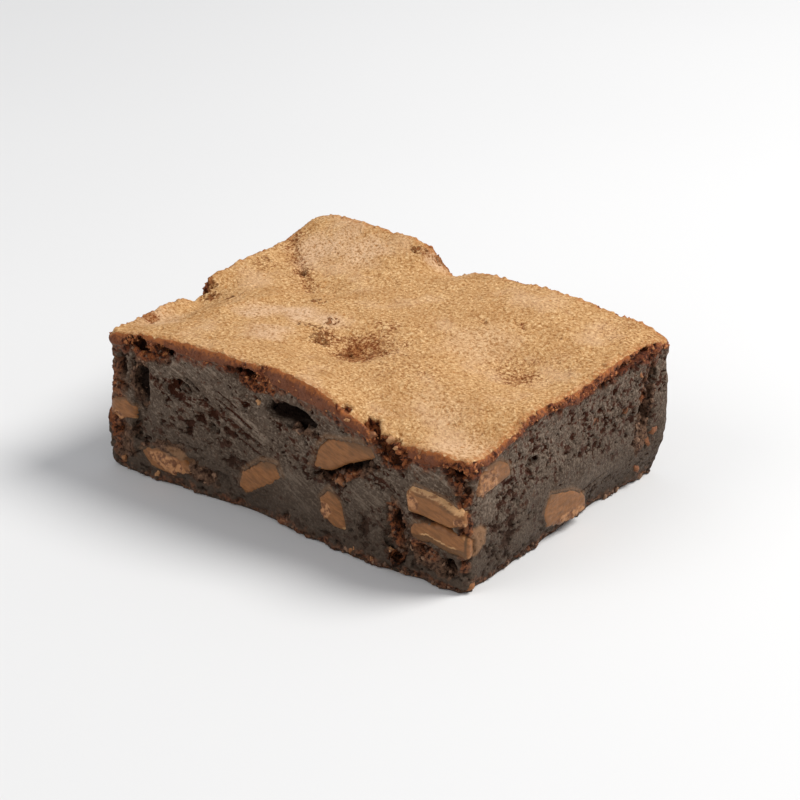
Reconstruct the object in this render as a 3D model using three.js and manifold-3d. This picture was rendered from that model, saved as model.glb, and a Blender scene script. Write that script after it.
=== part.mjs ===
// A cut oblong of chocolate brownie: one block of dense, fudgy crumb under a thin tan crust, with
// chopped pieces of milk chocolate set in pockets in its four cut sides. Millimetres, +Z up, the
// long way along X. The block rests on its flat underside.
import * as THREE from "three";
import { ImprovedNoise } from "three/addons/math/ImprovedNoise.js";
import { mergeVertices } from "three/addons/utils/BufferGeometryUtils.js";
import Module from "manifold-3d";

const wasm = await Module();
wasm.setup();
const noise = new ImprovedNoise();

// Driving sizes
const LENGTH = 80;
const WIDTH = 59;
const THICKNESS = 28; // level of the crust before the swells and hollows below
const CORNER_RADIUS = 1.6; // upright corners, seen from above
const FOOT_RADIUS = 1.3; // edge round the underside
const RIM_RADIUS = 0.5; // edge round the crust
const CRUST_DEPTH = 1.7; // the baked skin stands a little proud of the crumb below it
const CRUST_PROUD = 0.3;
const CRUMB_RELIEF = 0.35; // how far the lumps of the cut sides stand out
const LUMP = { size: 3.1, height: 2.6, broad: 8 };
const CRUST_RELIEF = 0.22; // how far the wrinkles of the crust stand up
const WRINKLE = { broad: 5, fine: 2.6 };
const WALL_REACH = 4; // the relief of a cut side fades out so far inside it
const BULGE_REACH = 8;
const SMALL_HOLE = 5; // holes up to this size have fewer facets
const HOLE_ROUGHNESS = 0.35; // share of a hole's size
const HOLE_LUMPS = 5; // lumps across a hole
const SET_GAP = 0.3; // between a piece of chocolate and its pocket
const CHOPPED_BEVEL = 0.35;
const CHOPPED_TAPER = 0.78; // share of its outline that a piece keeps at its inner end
const CUTTER_CLEARANCE = 3; // how far the cutter of a pocket reaches clear of the side
const GRID = { length: 38, width: 28, height: 12 };
const CROWDING = 0.4; // rows of the grid stand closer together near the edges of the block
const SPARE = 1; // the block is made so much too deep, and then trimmed flat

const HALF_LENGTH = LENGTH / 2;
const HALF_WIDTH = WIDTH / 2;

const clamp = THREE.MathUtils.clamp;
const smooth = THREE.MathUtils.smoothstep;

// The crust rises and sinks as it bakes. Each entry is one swell (height above 0) or hollow, and
// steep is the share of its reach that it has on its left.
const SWELLS = [
  { at: [-11.5, -31], reach: [15, 13], height: 1.8 }, // long swell over the front side
  { at: [23, -32.5], reach: [7.6, 7], height: -2.9 }, // sunken stretch of the front rim
  { at: [40, -24.5], reach: [22, 10.5], height: -3.7 }, // low front corner
  { at: [-28.5, 29.5], reach: [18, 9], height: 3.7 }, // high mound at the back corner
  { at: [-8.7, 31.5], reach: [4.7, 6], height: -4.1, steep: 0.4 }, // notch beside the mound
  { at: [-16, 31.5], reach: [5.5, 6], height: 1.2 },
  { at: [-38, 31], reach: [5, 5], height: 0.4 },
  { at: [14, 25], reach: [12, 13], height: 1.3 },
  { at: [-37, -12.5], reach: [5, 14], height: -3 }, // dip along the left rim
  { at: [-42, -28], reach: [6, 5], height: -0.9 },
  { at: [-41, -14.5], reach: [5, 4.5], height: 1 },
  { at: [-41, -6.6], reach: [3.5, 2.4], height: -1.9 },
  { at: [-41, -1.6], reach: [4.5, 2.4], height: 0.7 }, // step in the left rim
  { at: [-41, 6], reach: [6, 10], height: 1.1 },
  { at: [-33, 15], reach: [5.5, 3.4], height: -0.9 }, // valley that runs down beside the mound
  { at: [-0.8, -9.8], reach: [6.8, 5.8], height: -2.7 }, // sunken middle
  { at: [28, 0.5], reach: [14, 9], height: -2.6 }, // second, shallow hollow
  { at: [-23.5, 7], reach: [6.6, 5.2], height: -1.7 }, // crease between mound and middle
  { at: [42, 32], reach: [4.4, 5.2], height: -4.2 }, // worn right corner
];

// The cut sides aren't quite flat. Each entry swells a side outwards (or sinks it inwards) round a
// place across and up it.
const BULGES = [
  { side: "front", at: [16, 0], reach: [16, 7], out: 1.1 },
  { side: "front", at: [-7, 0], reach: [12, 6], out: -1.2 },
  { side: "front", at: [-40, 6], reach: [8, 9], out: 0.6 },
  { side: "left", at: [29, 5], reach: [9, 9], out: 1 },
  { side: "right", at: [14, 0], reach: [24, 5], out: -2.4 }, // foot worn away
  { side: "right", at: [29, 17], reach: [7, 12], out: 0.6 },
  { side: "back", at: [-40, 17], reach: [7, 12], out: 0.4 },
];

// Holes and torn places. Each is a roughened ellipsoid, as wide, high and deep as size says,
// centred across and up its side, and turned by so many degrees in the plane of that side.
const HOLES = [
  { side: "front", at: [2.2, 21.1], size: [12.5, 3.4, 11], turn: -4 }, // air pocket
  { side: "front", at: [-32, 18.2], size: [3.6, 8.4, 7], turn: 8 }, // split near the corner
  { side: "front", at: [-33.6, 10.6], size: [2.2, 8, 2.6], turn: 4 },
  { side: "front", at: [-32.2, 26], size: [3.4, 2, 4], turn: 0 }, // gap under the crust
  { side: "front", at: [-25.8, 26.5], size: [2.6, 1.3, 3], turn: -10 },
  { side: "front", at: [-7.4, 27.4], size: [5.6, 1.5, 5], turn: 4 },
  { side: "front", at: [20.6, 25.8], size: [3.8, 3.6, 4.6], turn: -30 }, // crust broken away
  { side: "front", at: [23.8, 21.6], size: [3.6, 3.8, 4], turn: -35 },
  { side: "front", at: [15.4, 16.3], size: [13.5, 2.2, 4], turn: 30 }, // gap under the largest piece
  { side: "front", at: [-15.9, 14.2], size: [2.6, 2, 3], turn: -20 },
  { side: "front", at: [-21.8, 20.3], size: [3.8, 2.2, 3.4], turn: -25 },
  { side: "front", at: [-14.2, 5], size: [4.4, 2.4, 3.2], turn: -20 },
  { side: "front", at: [25, 7.6], size: [4.6, 9, 2], turn: -6 },
  { side: "front", at: [37, 4.6], size: [2.4, 3.6, 3.4], turn: 10 },
  { side: "front", at: [38.4, 22.6], size: [4.2, 2, 4], turn: 0 },
  { side: "right", at: [-28.4, 20.6], size: [1.8, 4.6, 2.6], turn: 8 },
  { side: "right", at: [22.6, 15.6], size: [2.4, 18, 2.8], turn: -12 }, // upright tear
  { side: "right", at: [-11.5, 17.6], size: [4.2, 2, 2.6], turn: 20 },
  { side: "back", at: [-18, 18.5], size: [7.5, 2.6, 5], turn: 12 },
  { side: "back", at: [9.5, 23], size: [5.2, 2, 4], turn: -8 },
  { side: "back", at: [26, 9], size: [2.8, 7, 3], turn: 10 },
  { side: "left", at: [-22.4, 12], size: [2.2, 12, 2.8], turn: 8 },
  { side: "left", at: [9, 20.5], size: [6, 2.4, 4.4], turn: -12 },
  { side: "left", at: [5, 26.8], size: [3, 2.2, 4], turn: 20 }, // broken side of the step in the left rim
];

// Pieces of chocolate. Each outline is what the cut shows, across and up its side. The piece runs
// inwards to its depth and stands proud of the side by so much.
const CHOCOLATE = [
  {
    name: "chocolate_front_1",
    side: "front",
    outline: [[-40.5, 11.5], [-39.4, 13.8], [-36, 14.5], [-33.9, 12.8], [-34.3, 10.9], [-38.2, 9.8]],
    depth: 4.6,
    proud: 0.2,
  },
  {
    name: "chocolate_front_2",
    side: "front",
    outline: [[-32.8, 5.2], [-29, 6.9], [-23.6, 6.1], [-20.9, 4.4], [-25.4, 2.3], [-30.6, 2.6]],
    depth: 4,
    proud: 0.35,
  },
  {
    name: "chocolate_front_3",
    side: "front",
    outline: [[-9.9, 5.2], [-8.7, 8.3], [-4.4, 11.8], [-1, 12.1], [0.2, 9.6], [-4.2, 6.4], [-8.2, 3.8]],
    depth: 5,
    proud: 0.2,
  },
  {
    name: "chocolate_front_4",
    side: "front",
    outline: [
      [7.2, 14], [8.4, 17.8], [10.4, 19.9], [16.8, 21.7],
      [20.6, 21.6], [21, 20], [14.2, 16.8], [10.9, 14.6],
    ],
    depth: 5.5,
    proud: 0.2,
  },
  {
    name: "chocolate_front_5",
    side: "front",
    outline: [[9, 5.9], [8.9, 8.6], [10.9, 11.2], [13.3, 9.2], [14.6, 4.4], [11.9, 4.2]],
    depth: 4,
    proud: 0.25,
  },
  {
    name: "chocolate_front_6",
    side: "front",
    outline: [
      [28.1, 15.8], [29.3, 17.2], [34.3, 16.9], [39.3, 15.4],
      [39.6, 13.4], [36.8, 12.4], [31.2, 12.8], [28.4, 12.9],
    ],
    depth: 4.5,
    proud: 1.2,
  },
  {
    name: "chocolate_corner",
    side: "front",
    outline: [
      [28.5, 8.9], [29.3, 10.5], [34.3, 11.3], [40.15, 10.7],
      [40.15, 7.1], [36.5, 6.8], [32.3, 7.7], [29.2, 7],
    ],
    depth: 5.4,
    proud: 0.3,
  },
  {
    name: "chocolate_right_1",
    side: "right",
    outline: [
      [-26.8, 17.8], [-25.6, 21], [-23.8, 21.8], [-20.8, 21.5],
      [-17.8, 19.8], [-17.5, 18.1], [-21.3, 17.4], [-25.1, 16.8],
    ],
    depth: 4.2,
    proud: 0.2,
  },
  {
    name: "chocolate_right_2",
    side: "right",
    outline: [[-7.4, 6.2], [-5.6, 9.5], [1.2, 7.6], [4.8, 5.2], [5.4, 2.6], [0.1, 2.2], [-6.4, 3.4]],
    depth: 4.8,
    proud: 0.3,
  },
  { name: "chocolate_back_1", side: "back", chopped: { at: [-30, 9.5], size: [9, 5], turn: 24 } },
  { name: "chocolate_back_2", side: "back", chopped: { at: [-9, 6.2], size: [8, 4.6], turn: -14 } },
  { name: "chocolate_back_3", side: "back", chopped: { at: [2.5, 15.5], size: [11, 4.4], turn: 18 } },
  { name: "chocolate_back_4", side: "back", chopped: { at: [16.5, 6], size: [7, 5], turn: -30 } },
  { name: "chocolate_back_5", side: "back", chopped: { at: [31.5, 18.6], size: [9, 4], turn: -12 } },
  { name: "chocolate_left_1", side: "left", chopped: { at: [-12.5, 17], size: [8.5, 4.2], turn: -20 } },
  { name: "chocolate_left_2", side: "left", chopped: { at: [0.5, 6.2], size: [9.5, 5], turn: 10 } },
  { name: "chocolate_left_3", side: "left", chopped: { at: [17.5, 13.4], size: [7, 5], turn: 32 } },
];
const CHOPPED_DEPTH = 4.6;
const CHOPPED_PROUD = 0.25;

const CRUMB_LOOK = new THREE.MeshStandardMaterial({ color: 0x4b3c33, roughness: 0.75, metalness: 0 });
const CHOCOLATE_LOOK = new THREE.MeshStandardMaterial({ color: 0x8a5f45, roughness: 0.5, metalness: 0 });

// Each side has a frame of its own: x runs across it, y up it and z out of it.
const SIDES = {
  front: { out: [0, -1], distance: HALF_WIDTH },
  right: { out: [1, 0], distance: HALF_LENGTH },
  back: { out: [0, 1], distance: HALF_WIDTH },
  left: { out: [-1, 0], distance: HALF_LENGTH },
};

function sideFrame(side) {
  const { out, distance } = SIDES[side];
  const normal = new THREE.Vector3(out[0], out[1], 0);
  const up = new THREE.Vector3(0, 0, 1);
  const across = new THREE.Vector3().crossVectors(up, normal);
  return new THREE.Matrix4().makeBasis(across, up, normal).setPosition(normal.multiplyScalar(distance));
}

function solidOf(geometry) {
  const bare = geometry.clone();
  bare.deleteAttribute("normal");
  bare.deleteAttribute("uv");
  const merged = mergeVertices(bare, 1e-4);
  return new wasm.Manifold(
    new wasm.Mesh({
      numProp: 3,
      vertProperties: merged.attributes.position.array,
      triVerts: new Uint32Array(merged.index.array),
    }),
  );
}

function geometryOf(solid) {
  const mesh = solid.getMesh();
  const geometry = new THREE.BufferGeometry();
  geometry.setAttribute("position", new THREE.BufferAttribute(mesh.vertProperties, 3));
  geometry.setIndex(new THREE.BufferAttribute(mesh.triVerts, 1));
  geometry.computeVertexNormals();
  return geometry;
}

function moveVertices(geometry, move) {
  const position = geometry.attributes.position;
  const point = new THREE.Vector3();
  for (let i = 0; i < position.count; i++) {
    point.fromBufferAttribute(position, i);
    move(point);
    position.setXYZ(i, point.x, point.y, point.z);
  }
  return geometry;
}

// The level of the crust above the underside
function crustLevel(x, y) {
  let level = THICKNESS;
  for (const { at, reach, height, steep = 1 } of SWELLS) {
    const across = (x - at[0]) / (x < at[0] ? reach[0] * steep : reach[0]);
    level += height * Math.exp(-(across ** 2) - ((y - at[1]) / reach[1]) ** 2);
  }
  for (const size of Object.values(WRINKLE)) level += CRUST_RELIEF * noise.noise(x / size, y / size, size);
  return level;
}

function spread(share) {
  return (1 - CROWDING) * share + CROWDING * Math.sin((share * Math.PI) / 2);
}

// Turns the square corner of an oblong into a round one, seen from above.
function roundCorner(point, halfLength, halfWidth, radius) {
  const cx = Math.abs(point.x) - (halfLength - radius);
  const cy = Math.abs(point.y) - (halfWidth - radius);
  if (cx <= 0 || cy <= 0) return;
  const pull = Math.max(cx, cy) / Math.hypot(cx, cy);
  point.x = Math.sign(point.x) * (halfLength - radius + cx * pull);
  point.y = Math.sign(point.y) * (halfWidth - radius + cy * pull);
}

// How far a quarter-round edge stands back, at so much height from the end of the wall
function edgeInset(height, radius) {
  const inside = clamp(1 - height / radius, 0, 1);
  return radius * (1 - Math.sqrt(1 - inside ** 2));
}

// How far the bulges move a point of the block
function bulge(point) {
  const move = new THREE.Vector3();
  for (const { side, at, reach, out } of BULGES) {
    const frame = sideFrame(side);
    const local = point.clone().applyMatrix4(frame.clone().invert());
    const nearSide = smooth(local.z, -BULGE_REACH, 0);
    const fall = ((local.x - at[0]) / reach[0]) ** 2 + ((local.y - at[1]) / reach[1]) ** 2;
    const normal = new THREE.Vector3().setFromMatrixColumn(frame, 2);
    move.addScaledVector(normal, out * nearSide * Math.exp(-fall));
  }
  return move;
}

function blockGeometry() {
  const box = new THREE.BoxGeometry(2, 2, 2, GRID.length, GRID.width, GRID.height);
  return moveVertices(box, (point) => {
    point.set(spread(point.x) * HALF_LENGTH, spread(point.y) * HALF_WIDTH, (spread(point.z) + 1) / 2);
    const wallDistance = Math.min(HALF_LENGTH - Math.abs(point.x), HALF_WIDTH - Math.abs(point.y));
    const onWall = 1 - smooth(wallDistance, 0, WALL_REACH);
    roundCorner(point, HALF_LENGTH, HALF_WIDTH, CORNER_RADIUS);
    const level = crustLevel(point.x, point.y);
    const z = point.z * (level + SPARE) - SPARE;
    const belowCrust = level - z;

    // The wall's own relief: lumps of crumb, a slightly proud crust, and rounded rims
    const lumps =
      noise.noise(point.x / LUMP.size, point.y / LUMP.size, z / LUMP.height) +
      noise.noise(point.x / LUMP.broad, point.y / LUMP.broad, z / LUMP.broad);
    const proud = CRUST_PROUD * (1 - smooth(belowCrust, CRUST_DEPTH * 0.8, CRUST_DEPTH * 1.6));
    const rims = edgeInset(z, FOOT_RADIUS) + edgeInset(belowCrust, RIM_RADIUS);
    const stretch = onWall * (CRUMB_RELIEF * lumps + proud - rims);
    point.x *= 1 + stretch / HALF_LENGTH;
    point.y *= 1 + stretch / HALF_WIDTH;
    point.z = z;
    point.add(bulge(point));
  });
}

function holeGeometry({ at, size, turn }, index) {
  const ball = new THREE.IcosahedronGeometry(0.5, Math.max(...size) > SMALL_HOLE ? 2 : 1);
  moveVertices(ball, (point) => {
    const rough = noise.noise(point.x * HOLE_LUMPS + index, point.y * HOLE_LUMPS, point.z * HOLE_LUMPS);
    point.multiplyScalar(1 + HOLE_ROUGHNESS * rough);
    point.set(point.x * size[0], point.y * size[1], point.z * size[2]);
  });
  return ball.rotateZ(THREE.MathUtils.degToRad(turn)).translate(at[0], at[1], 0);
}

// The outline of a piece of chopped chocolate: a slanted block with its corners knocked off
function choppedOutline({ at, size, turn }) {
  const corners = [
    [-0.5, -0.2], [-0.36, 0.42], [0.1, 0.5], [0.46, 0.24],
    [0.5, -0.3], [0.04, -0.46], [-0.34, -0.5],
  ];
  const angle = THREE.MathUtils.degToRad(turn);
  return corners.map(([across, up]) => {
    const corner = new THREE.Vector2(across * size[0], up * size[1]);
    corner.rotateAround(new THREE.Vector2(0, 0), angle);
    return [corner.x + at[0], corner.y + at[1]];
  });
}

// A piece with bevelled rims that narrows as it goes in. Grown by a gap, the same shape is the
// cutter for its pocket.
function pieceGeometry(outline, depth, proud, grown) {
  const shape = new THREE.Shape(outline.map(([across, up]) => new THREE.Vector2(across, up)));
  const centre = new THREE.Vector2();
  for (const [across, up] of outline) centre.add(new THREE.Vector2(across, up).divideScalar(outline.length));
  const inner = depth + grown;
  const outer = proud + (grown > 0 ? CUTTER_CLEARANCE : 0);
  const geometry = new THREE.ExtrudeGeometry(shape, {
    depth: inner + outer - 2 * CHOPPED_BEVEL,
    steps: 2,
    bevelEnabled: true,
    bevelSegments: 1,
    bevelThickness: CHOPPED_BEVEL,
    bevelSize: CHOPPED_BEVEL,
    bevelOffset: grown - CHOPPED_BEVEL,
  });
  geometry.translate(0, 0, CHOPPED_BEVEL - inner);
  return moveVertices(geometry, (point) => {
    const share = THREE.MathUtils.lerp(1, CHOPPED_TAPER, clamp(-point.z / depth, 0, 1));
    point.x = centre.x + (point.x - centre.x) * share;
    point.y = centre.y + (point.y - centre.y) * share;
  });
}

// The outside of the pieces follows the rounded corners of the block.
function roundedOblong(grown) {
  const x = HALF_LENGTH + grown;
  const y = HALF_WIDTH + grown;
  const r = CORNER_RADIUS;
  const plan = new THREE.Shape();
  plan.moveTo(-x + r, -y).lineTo(x - r, -y).absarc(x - r, -y + r, r, -Math.PI / 2, 0);
  plan.lineTo(x, y - r).absarc(x - r, y - r, r, 0, Math.PI / 2);
  plan.lineTo(-x + r, y).absarc(-x + r, y - r, r, Math.PI / 2, Math.PI);
  plan.lineTo(-x, -y + r).absarc(-x + r, -y + r, r, Math.PI, 1.5 * Math.PI);
  return new THREE.ExtrudeGeometry(plan, { depth: 2 * THICKNESS, bevelEnabled: false, curveSegments: 6 });
}

const whole = new THREE.Group();
const trimmer = new THREE.BoxGeometry(2 * LENGTH, 2 * WIDTH, 4 * SPARE).translate(0, 0, -2 * SPARE);
let block = solidOf(blockGeometry()).subtract(solidOf(trimmer));

HOLES.forEach((hole, index) => {
  const cutter = holeGeometry(hole, index).applyMatrix4(sideFrame(hole.side));
  block = block.subtract(solidOf(cutter));
});

for (const side of Object.keys(SIDES)) {
  const frame = sideFrame(side);
  for (const piece of CHOCOLATE.filter((each) => each.side === side)) {
    const outline = piece.outline ?? choppedOutline(piece.chopped);
    const depth = piece.depth ?? CHOPPED_DEPTH;
    const proud = piece.proud ?? CHOPPED_PROUD;
    const cutter = pieceGeometry(outline, depth, proud, SET_GAP).applyMatrix4(frame);
    block = block.subtract(solidOf(cutter));
    const set = solidOf(pieceGeometry(outline, depth, proud, 0).applyMatrix4(frame));
    const mesh = new THREE.Mesh(geometryOf(set.intersect(solidOf(roundedOblong(proud)))), CHOCOLATE_LOOK);
    mesh.name = piece.name;
    whole.add(mesh);
  }
}

// Cutting can free a crumb: only the block itself is kept.
const largest = block.decompose().sort((a, b) => b.volume() - a.volume())[0];
const cake = new THREE.Mesh(geometryOf(largest), CRUMB_LOOK);
cake.name = "brownie";
whole.add(cake);

// The origin is the middle of the underside of the whole.
const extent = new THREE.Box3().setFromObject(whole, true);
const middle = extent.getCenter(new THREE.Vector3());
whole.position.set(-middle.x, -middle.y, -extent.min.z);

const part = new THREE.Group();
part.add(whole);
export default part;
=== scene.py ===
import itertools
import math

import bpy
import numpy as np
from bpy.props import FloatProperty, FloatVectorProperty, IntProperty, PointerProperty
from mathutils import Euler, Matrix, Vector
from mathutils.bvhtree import BVHTree


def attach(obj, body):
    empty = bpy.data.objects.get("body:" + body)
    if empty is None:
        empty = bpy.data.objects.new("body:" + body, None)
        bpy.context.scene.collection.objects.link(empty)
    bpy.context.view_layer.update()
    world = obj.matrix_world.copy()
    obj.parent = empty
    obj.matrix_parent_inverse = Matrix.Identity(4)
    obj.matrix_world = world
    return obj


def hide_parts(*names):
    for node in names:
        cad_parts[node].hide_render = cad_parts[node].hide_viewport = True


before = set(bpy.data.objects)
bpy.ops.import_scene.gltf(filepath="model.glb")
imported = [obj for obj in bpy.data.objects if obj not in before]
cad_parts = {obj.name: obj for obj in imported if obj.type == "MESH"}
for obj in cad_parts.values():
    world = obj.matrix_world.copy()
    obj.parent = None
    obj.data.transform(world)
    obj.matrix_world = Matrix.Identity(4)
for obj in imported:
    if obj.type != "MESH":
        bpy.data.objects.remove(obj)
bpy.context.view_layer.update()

bl_info = {
    "name": "Chocolate brownie",
    "version": (1, 0, 0),
    "blender": (4, 5, 0),
    "location": "View3D > Sidebar > Brownie",
    "description": "Builds a slab of chocolate brownie round its packed solids",
    "category": "Object",
}

MM = 0.001
HALF_LENGTH = 40.0  # mm, from the middle to the cut sides
HALF_WIDTH = 29.5
CUT_SIDES = {"front": (0, -1), "right": (1, 0), "back": (0, 1), "left": (-1, 0)}
LOWEST_CRUST = 18  # mm above the floor
BAND = 2.3  # mm, thickness of the band under the crust, as it shows at the cut
RIGHT_BAND = 2.1  # mm, the same on the right
THICKER = 1.5  # mm, what it gains in the thick stretches
SMEAR_REACH = 1.6  # mm, how far the knife smeared the chocolate
UNCOVERED_RIM = 0.2  # mm, how far the crumb overlaps the edge of a piece of chocolate
FLUSH = 0.12  # mm, how far a piece of chocolate stands out of the crumb round it

# Places on the cut sides, in millimetres: the side, the place across and up it, the half width and
# half height, and the turn in degrees. First the places where the knife tore the cake to crumbs
CRUMBLED = [
    ("front", (24, 21.8), (4.4, 3.6), -35),  # under the broken crust
    ("front", (38.6, 21.6), (4, 2.6), 0),
    ("front", (14.6, 15), (7.4, 1.5), 22),  # under the largest piece of chocolate
    ("front", (25.6, 8), (2.4, 6), 8),
    ("front", (34, 11.8), (5.6, 0.8), -9),  # between the two plates of chocolate
    ("front", (31, 6), (4.4, 1.6), -14),
    ("front", (34.4, 4.2), (5, 1.8), -10),
    ("front", (39.6, 11), (1.1, 9), 0),
    ("front", (-18.6, 4.6), (4.8, 2.4), -18),
    ("front", (-26, 7.4), (6, 1.4), 8),
    ("front", (-37.8, 17), (2.6, 6), 0),
    ("front", (-37, 6), (3.4, 5), 0),
    ("front", (-32.4, 19), (2.6, 6), 6),
    ("front", (-30.6, 25.2), (6, 2.2), -6),
    ("front", (-7, 26.6), (5, 1.5), -4),
    ("front", (-4.6, 24.6), (4, 1), -10),
    ("front", (5, 19.4), (3.4, 0.8), -4),  # lower lip of the big hole
    ("front", (3.4, 22.2), (5, 0.7), -12),  # upper lip
    ("front", (-38.8, 11), (1.4, 10), 0),
    ("right", (22.6, 15), (2.4, 11), -8),  # upright tear
    ("right", (22, 26), (5, 2), 0),
    ("right", (13, 25.4), (5, 1.6), 10),
    ("right", (-28.6, 20), (1.4, 5), 0),
    ("right", (16.3, 17), (1.2, 0.8), 30),
    ("right", (7.6, 18.4), (1, 0.6), 10),
    ("back", (-18, 17.6), (5, 2), 12),
    ("back", (26, 9), (2, 5), 10),
    ("back", (36.5, 10), (3.4, 8), 0),
    ("back", (8, 24), (6, 1.6), -8),
    ("left", (-22.4, 12), (1.8, 7), 8),
    ("left", (9, 19.6), (4, 1.8), -12),
    ("left", (27, 17), (2.4, 8), 0),
    ("left", (4.8, 25.4), (3.6, 2), 0),
]
# Where the torn cake is rusty
RUSTY = [
    ("front", (24.8, 8), (2, 5.5), 8),
    ("front", (39.4, 14), (1.6, 8), 0),
    ("front", (39, 5.2), (1.5, 1.8), 0),
    ("front", (24, 21.6), (4.4, 3.4), -35),
    ("front", (38.6, 22), (3, 2.4), 0),
    ("front", (31, 6.2), (3.6, 1.2), -14),
    ("front", (-32.2, 9.5), (1.6, 2.6), 0),
    ("front", (-31.5, 25.4), (5, 2), -6),
    ("front", (-38.6, 12), (2, 11), 0),
    ("front", (-4.6, 24.8), (4.4, 1.4), -10),
    ("front", (-27, 4), (6, 2), -12),
    ("front", (14.6, 14.6), (4, 1.2), 22),
    ("right", (16.3, 17), (1.6, 1.2), 30),
    ("right", (8, 18.3), (1.6, 1), 10),
    ("right", (22.8, 18), (1.4, 3), 0),
    ("right", (-16, 12), (6, 4), 0),
    ("back", (26, 9), (2, 5), 10),
    ("left", (-22.4, 12), (1.8, 7), 8),
]
# Where the knife pressed the crumb smooth
SMOOTH = [
    ("front", (-37.6, 25), (3, 1.6), 0),
    ("front", (-19, 26), (6, 1.4), -8),
    ("front", (8, 24.6), (6, 1.4), -14),
    ("front", (-21, 23), (6, 1.3), -14),
    ("front", (-7, 17.5), (5, 1.6), -28),
    ("front", (4, 8), (5.5, 3.4), -20),
    ("front", (19, 12), (4, 2.6), 0),
    ("front", (33, 20), (4, 1.8), -10),
    ("right", (9, 7.6), (10, 1.8), -4),
    ("right", (-23, 14), (3, 2.4), 0),
    ("right", (-13, 5), (4, 2), 10),
    ("back", (18, 15), (7, 3), 12),
    ("back", (-22, 13), (6, 2), -20),
    ("left", (-6, 11), (6, 3), 10),
    ("left", (18, 22), (5, 2), -15),
]
# Where the band under the crust is thicker
THICK_BAND = [
    ("front", (2, 25), (11, 7), -12),
    ("back", (-14, 25), (9, 6), 4),
]
# Where the pits of the crumb crowd together
PITTED = [
    ("front", (-20, 18), (6.5, 3.4), -28),
    ("front", (-9, 8), (3, 4), 0),
    ("front", (12, 11), (6, 3), 0),
    ("right", (-10, 17.5), (6, 4), 10),
    ("right", (-18, 11), (7, 8), 0),
    ("right", (8, 18), (9, 4.5), 14),
    ("back", (0, 10), (9, 5), 0),
    ("back", (28, 20), (7, 4), 0),
    ("left", (-14, 8), (7, 5), 0),
    ("left", (14, 9), (7, 4), 0),
]
# Deep gaps under the crust and between the crumbs
CREVICES = [
    ("front", (-32, 25.9), (2, 1.1), -4),
    ("front", (-26.4, 26.4), (2, 0.8), -8),
    ("front", (-36.4, 21), (1, 2), 0),
    ("front", (-10.5, 27.3), (1.6, 0.7), 2),
    ("front", (-6, 27.6), (1.8, 0.7), -4),
    ("front", (21.8, 23.4), (1.4, 1.6), -30),
    ("front", (25, 20.4), (1.4, 1), 0),
    ("front", (38.4, 21.8), (1.8, 1), 0),
    ("front", (33.8, 11.8), (5.4, 0.8), -9),
    ("front", (12.6, 15.2), (5, 0.7), 24),
    ("front", (36.6, 5), (1.3, 0.8), -40),
    ("front", (-20.4, 21.4), (1.9, 0.5), -22),
    ("front", (-16.6, 19.4), (1.2, 0.4), -24),
    ("front", (-14.8, 14.3), (0.9, 0.6), 0),
    ("front", (25.2, 9), (0.8, 2), 0),
    ("back", (-30, 25.6), (4, 0.6), 4),
    ("back", (20, 26), (3.4, 0.6), -3),
    ("left", (16, 24.4), (3.4, 0.6), 4),
    ("right", (20, 27), (3, 0.6), 6),
]
# Where the knife smeared chocolate over the crumb
SMEARED = [
    ("right", (-26.3, 9.2), (2.9, 2.7), 20),
    ("front", (-37.4, 12.6), (1.8, 1.6), -10),
    ("front", (-24, 7), (3.6, 1.2), -12),
]
# Larger single crumbs that cling to the cut sides, in millimetres: the place and the size
CLINGING = [
    ("front", (16.4, 0.9), 1.4),
    ("front", (18.2, 0.8), 1.7),
    ("front", (20.4, 1.2), 1.2),
    ("front", (21.9, 0.7), 1.5),
    ("front", (17.2, 2.1), 1.0),
    ("front", (13.2, 13.3), 1.5),
    ("front", (15.8, 14.5), 1.1),
    ("front", (-36.7, 2.2), 1.4),
    ("front", (-28.9, 1.3), 1.3),
    ("front", (-4.6, 22.4), 1.1),
    ("front", (15.6, 25.4), 1.1),
    ("front", (21.2, 24.6), 1.4),
    ("front", (23, 23.8), 1.6),
    ("front", (24.4, 24.4), 1.2),
    ("front", (25.8, 23.2), 1.3),
    ("front", (30.4, 24), 0.9),
    ("front", (24.6, 3.6), 1.3),
    ("right", (24.2, 8.6), 2.0),
    ("right", (25.3, 10.4), 1.8),
    ("right", (21.8, 3.4), 1.6),
    ("right", (20.6, 22.6), 1.3),
    ("right", (-27.6, 1.4), 1.4),
    ("back", (12, 2), 1.5),
    ("back", (-30, 11), 1.3),
    ("back", (36.6, 6), 1.6),
    ("left", (-20, 3), 1.5),
    ("left", (26, 12), 1.7),
    ("left", (3, 22.6), 1.2),
]

# Patches of the crust, in millimetres: the place, the reach and the strength. First the moist ones
STAINS = [
    ((0, -8.4), 4.2, 1.0),  # core of the sunken middle
    ((0.4, -7), 7.6, 0.7),
    ((2.6, -10.8), 4.6, 0.8),
    ((-5.6, -8.6), 3.4, 0.6),
    ((28.8, 1.8), 4.2, 0.6),  # second hollow
    ((26, 3), 5.4, 0.35),
    ((-38.1, -20), 2.4, 0.9),  # broken rim on the left
    ((-38.6, 20), 3, 0.5),
    ((-34, 15), 2.4, 0.5),
    ((-28.6, 11), 2.6, 0.5),
    ((-24, 7.6), 2.2, 0.35),
    ((-13.4, 28), 1.6, 0.6),  # notch
    ((-36.3, 8.8), 3.4, 0.3),
    ((-39.6, -3.4), 1.8, 0.9),
    ((-36.6, -4.6), 1.6, 0.7),
    ((35, 24), 7, 0.25),
    ((12, -12), 8, 0.2),
]
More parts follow.
